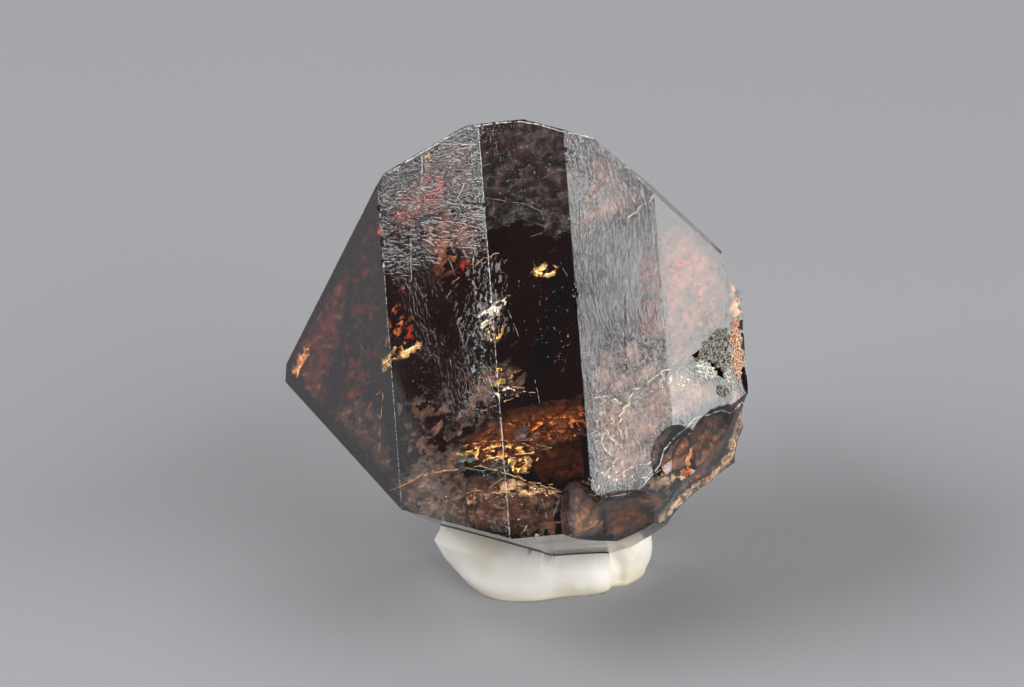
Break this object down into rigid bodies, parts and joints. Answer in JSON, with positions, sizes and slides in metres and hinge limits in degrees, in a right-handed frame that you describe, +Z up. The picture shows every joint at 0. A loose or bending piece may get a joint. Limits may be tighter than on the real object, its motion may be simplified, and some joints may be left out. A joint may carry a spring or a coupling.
{
  "type": "zircon crystal",
  "caption": "Stubby, double-ended tetragonal zircon crystal with one end broken off in shell-shaped fractures, pressed into a small lump of mounting putty that stands it on a table.",
  "frame": {"origin": "middle of the putty's flat base, on the table", "axes": "+Z up from the table, -Y towards the viewer, -X towards the crystal's whole pointed end"},
  "size_m": [0.0199, 0.0225, 0.0224],
  "materials": {
    "zircon": "see-through red-brown with an almost diamond-like gloss, etched and chipped on some faces",
    "putty": "matt, slightly waxy cream white"
  },
  "bodies": {
    "root": {"zircon_crystal": "zircon", "putty_lump": "putty"}
  },
  "joints": []
}
